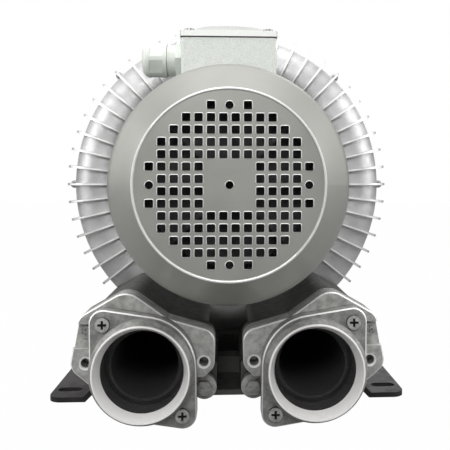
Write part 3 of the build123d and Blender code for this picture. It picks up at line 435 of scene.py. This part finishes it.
def punched_lip(name, half, corner, steps):
    """One raised ring round a hole; the corners of a flat square are bevelled round, then inset."""
    bpy.ops.object.select_all(action="DESELECT")
    bpy.ops.mesh.primitive_plane_add(size=2 * half, location=(0, 0, 0), rotation=(math.radians(90), 0, 0))
    lip = bpy.context.object
    lip.name = name
    bpy.ops.object.transform_apply(location=True, rotation=True, scale=True)
    bpy.ops.object.mode_set(mode="EDIT")
    bpy.ops.mesh.select_all(action="SELECT")
    bpy.ops.mesh.bevel(offset=corner, segments=steps, affect="VERTICES")
    bpy.ops.mesh.select_all(action="SELECT")
    bpy.ops.mesh.inset(thickness=LIP_WIDTH, depth=LIP_RISE)
    bpy.ops.mesh.inset(thickness=LIP_WIDTH / 2, depth=-LIP_DEPTH)
    bpy.ops.mesh.delete(type="ONLY_FACE")
    bpy.ops.object.mode_set(mode="OBJECT")
    return lip


def lip_at(pattern, column, row):
    """Copy a lip to a place in the grid."""
    lip = pattern.copy()
    lip.data = pattern.data.copy()
    place = Vector((column * HALF_PITCH, COWL_FACE, SHAFT_HEIGHT + row * HALF_PITCH))
    lip.data.transform(Matrix.Translation(place))
    bpy.context.scene.collection.objects.link(lip)
    return lip


def is_punched(across, up):
    """Whether a square hole stands this many half pitches to the side of and above the shaft."""
    if up == GRID_REACH:
        return across == OUTER_PAIR
    in_middle = across < PLAIN_MIDDLE and up < PLAIN_MIDDLE
    return across <= LAST_IN_ROW[up] and not in_middle


square_lip = punched_lip("square_lip", HOLE_HALF + LIP_WIDTH, HOLE_CORNER + LIP_WIDTH, 4)
round_lip = punched_lip("round_lip", ROUND_HOLE_R + LIP_WIDTH, ROUND_HOLE_R + LIP_WIDTH, 6)
lips = [lip_at(round_lip, 0, 0)]
for sign in (1, -1):
    lips.append(lip_at(round_lip, sign * GRID_REACH, 0))
    lips.append(lip_at(round_lip, 0, sign * GRID_REACH))
for row in range(-GRID_REACH, GRID_REACH + 1, 2):
    for column in range(-GRID_REACH, GRID_REACH + 1, 2):
        if is_punched(abs(column), abs(row)):
            lips.append(lip_at(square_lip, column, row))
bpy.data.objects.remove(square_lip)
bpy.data.objects.remove(round_lip)
bpy.ops.object.select_all(action="DESELECT")
for lip in lips:
    lip.select_set(True)
bpy.context.view_layer.objects.active = lips[0]
bpy.ops.object.join()
hole_lips = bpy.context.object
hole_lips.name = "cowl_hole_lips"
# Painted highlight: the lips are a lighter grey than the sprayed face.
lip_highlight_paint = Finish("lip_painted_highlight", 0.7)
lip_highlight_paint.colour(lip_highlight_paint.ramp(lip_highlight_paint.noise(90), (0.3, grey(0.50, 0.01)), (0.7, grey(0.72, 0.01))))
lip_highlight_paint.roughness(lip_highlight_paint.spread(lip_highlight_paint.noise(400), 0.3, 0.45))
hole_lips.data.materials.append(lip_highlight_paint.material)
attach(hole_lips, "casing")

# ---- Terminal box ----
# Die-cast box on top of the frame with a finely blasted, sandy skin, lighter and a touch greener
# than the cowl.
BLASTED_DARK = (0.53, 0.555, 0.525)
BLASTED_LIGHT = (0.60, 0.625, 0.59)
SAND_GRAIN = (0.74, 0.765, 0.73)
blasted = Finish("blasted_casting", 0.35)
sand = blasted.noise(1300, 3)
skin = blasted.ramp(blasted.noise(30), (0.3, BLASTED_DARK), (0.7, BLASTED_LIGHT))
blasted.colour(blasted.mix(blasted.spread(sand, 0.0, 1.0), skin, SAND_GRAIN))
blasted.roughness(blasted.spread(blasted.noise(200), 0.5, 0.7))
blasted.bump(sand, 0.00035, 0.7)
dress(blasted, "terminal_box")

# ---- Lid of the terminal box ----
# Die-cast lid, sprayed nearly white and screwed down on a gasket.  Its front face keeps that colour,
# and its top and sides, behind that, are painted mid grey as painted shade.
LID_FRONT = -0.1033
LID_UNSHADED_FRONT = 0.0003
LID_SHADE_BLUR = 0.0012
SPRAYED_DARK = (0.79, 0.805, 0.78)
SPRAYED_LIGHT = (0.87, 0.885, 0.86)
LID_SHADE_DARK = (0.43, 0.44, 0.425)
LID_SHADE_LIGHT = (0.48, 0.49, 0.475)
lid_casting = Finish("lid_casting", 0.1)
lid_shade_mask = lid_casting.beyond(lid_casting.along("Y"), LID_FRONT + LID_UNSHADED_FRONT, LID_SHADE_BLUR)
own_colour = lid_casting.ramp(lid_casting.noise(900, 3), (0.3, SPRAYED_DARK), (0.7, SPRAYED_LIGHT))
lid_painted_shade = lid_casting.ramp(lid_casting.noise(60, 5), (0.3, LID_SHADE_DARK), (0.7, LID_SHADE_LIGHT))
# Painted shade: the top and sides are coloured grey, the front face pale.
lid_casting.colour(lid_casting.mix(lid_shade_mask, own_colour, lid_painted_shade))
lid_casting.roughness(lid_casting.spread(lid_casting.noise(200), 0.45, 0.65))
lid_casting.bump(lid_casting.noise(1300, 3), 0.0003, 0.5)
dress(lid_casting, "box_lid")

# ---- Terminal studs ----
# Turned brass studs with nuts, pressed into the terminal board inside the box.  Air has dulled them
# a little.
BRASS_DULL = (0.5, 0.33, 0.12)
BRASS_BRIGHT = (0.72, 0.52, 0.22)
stud_brass = Finish("stud_brass", 1.0)
stud_brass.colour(stud_brass.ramp(stud_brass.noise(200), (0.3, BRASS_DULL), (0.7, BRASS_BRIGHT)))
stud_brass.roughness(stud_brass.spread(stud_brass.noise(400), 0.25, 0.4))
dress(stud_brass, "terminal_studs")

# ---- Cable gland ----
# Moulded gland, screwed through the side of the box: hexagon body, locknut and domed nut, all of
# pale grey plastic with a soft sheen.
GLAND_DARK = (0.58, 0.62, 0.57)
GLAND_LIGHT = (0.70, 0.74, 0.685)
gland_plastic = Finish("gland_plastic", 0.0)
gland_plastic.colour(gland_plastic.ramp(gland_plastic.noise(50), (0.3, GLAND_DARK), (0.7, GLAND_LIGHT)))
gland_plastic.roughness(gland_plastic.spread(gland_plastic.noise(350), 0.36, 0.52))
gland_plastic.bump(gland_plastic.noise(900, 2), 0.00015, 0.4)
dress(gland_plastic, "gland_body", "gland_nut", "gland_locknut")

# ---- Silencer covers and port flanges ----
# Aluminium castings with a sandy skin and a painted highlight along their front edges, bolted to
# the tubes.  The flanges are turned bright inside the mouth, with fine tool rings.  The bores of
# flanges and covers are painted near black with thread rings as painted shade, darkest in the grooves.
PORT_ACROSS = 0.060
PORT_HEIGHT = 0.0444
MACHINED_R = 0.0332
THREAD_R = 0.0286
THREAD_PITCH = 0.00231
FLANGE_FACE = -0.1375
COVER_FACE = -0.1255
EDGE_HIGHLIGHT_WIDTH = 0.001
FACE_CLEAR = 0.0001
TURNED_DARK = (0.92, 0.905, 0.885)
TURNED_BRIGHT = (0.97, 0.955, 0.935)


def port_finish(name, side, face, mouth, dark, light):
    """Cast skin with a painted highlight on the front edge, turned metal in the mouth, and a bore painted
    near black with thread rings as painted shade.
    """
    casting = Finish(name, 0.45)
    reach = casting.radius(side * PORT_ACROSS, PORT_HEIGHT)
    depth = casting.along("Y")
    outside = casting.beyond(reach, mouth, 0.0004)
    pitted = casting.noise(150, 6, rough=0.7)
    skin = casting.ramp(pitted, (0.38, grey(dark, 0.02)), (0.62, grey(light, 0.02)))
    # Painted highlight: a pale band on the chamfer just behind the front face.
    edge_highlight = casting.band(depth, face + EDGE_HIGHLIGHT_WIDTH / 2 + FACE_CLEAR, EDGE_HIGHLIGHT_WIDTH / 2)
    cast = casting.mix(edge_highlight, skin, grey(0.80, 0.01))
    tool_rings = casting.noise(30, 3, (1, 40, 1))
    turned = casting.ramp(tool_rings, (0.3, TURNED_DARK), (0.7, TURNED_BRIGHT))
    # Painted shade: the bore is near black, darkest in the thread's grooves and lighter on its crests.
    wave = casting.maths("SINE", casting.maths("MULTIPLY", depth, math.tau / THREAD_PITCH))
    groove_to_crest = casting.spread(wave, 0.0, 1.0, -1.0, 1.0)
    shaded_thread = casting.ramp(groove_to_crest, (0.45, grey(0.02)), (0.85, grey(0.06)), (1.0, grey(0.32)))
    in_mouth = casting.beyond(reach, THREAD_R, 0.0002)
    casting.colour(casting.mix(outside, casting.mix(in_mouth, shaded_thread, turned), cast))
    casting.metallic(casting.spread(outside, 0.3, 0.5, 0.0, 1.0))
    casting.roughness(casting.spread(outside, 0.3, 0.52, 0.0, 1.0))
    casting.bump(casting.noise(1300, 3), 0.0003, 0.45)
    return casting


for side, hand in ((-1, "left"), (1, "right")):
    flange_casting = port_finish("port_casting_" + hand, side, FLANGE_FACE, MACHINED_R, 0.20, 0.36)
    cover_casting = port_finish("cover_casting_" + hand, side, COVER_FACE, THREAD_R, 0.30, 0.50)
    dress(flange_casting, "port_flange_" + hand)
    dress(cover_casting, "silencer_cover_" + hand)

# ---- Port screws ----
# Zinc-plated pan-head screws with a cross recess hold the flanges.  Their faces are worn, and
# the cross recesses and the sides of the heads are painted near black as painted shade.
HEAD_FRONT = -0.1409
RECESS_SHADE_START = 0.0009
RECESS_SHADE_BLUR = 0.0004
head_steel = Finish("head_steel", 0.9)
scratches = head_steel.noise(260, 5)
# Painted shade: everything behind the head's front face, in the recess and on the sides, is near black.
recess_shade = head_steel.beyond(head_steel.along("Y"), HEAD_FRONT + RECESS_SHADE_START, RECESS_SHADE_BLUR)
worn = head_steel.ramp(scratches, (0.3, grey(0.42, 0.02)), (0.7, grey(0.7, 0.02)))
head_steel.colour(head_steel.mix(recess_shade, worn, grey(0.018)))
head_steel.roughness(head_steel.spread(scratches, 0.25, 0.45))
head_steel.bump(head_steel.noise(400, 3), 0.0001, 0.4)
dress(head_steel, "port_screws_left", "port_screws_right")

# ---- Bolts, nuts and washers ----
# Zinc-plated steel, a little dulled, with fine scratches from the spanner.  They hold the castings
# to the bracket and to each other, and the impeller and fan to the shaft.
plated_steel = Finish("plated_steel", 0.95)
scuffs = plated_steel.noise(260, 5, (1, 1, 3))
plated_steel.colour(plated_steel.ramp(scuffs, (0.3, grey(0.26, 0.02)), (0.7, grey(0.52, 0.02))))
plated_steel.roughness(plated_steel.spread(scuffs, 0.26, 0.48))
plated_steel.bump(scuffs, 0.0001, 0.4)
dress(plated_steel, "bracket_bolts", "cover_bolts", "silencer_bolts_left", "silencer_bolts_right",
      "tie_rods", "fan_cover_screws", "lid_screws", "impeller_nut", "impeller_washer", "fan_clip")
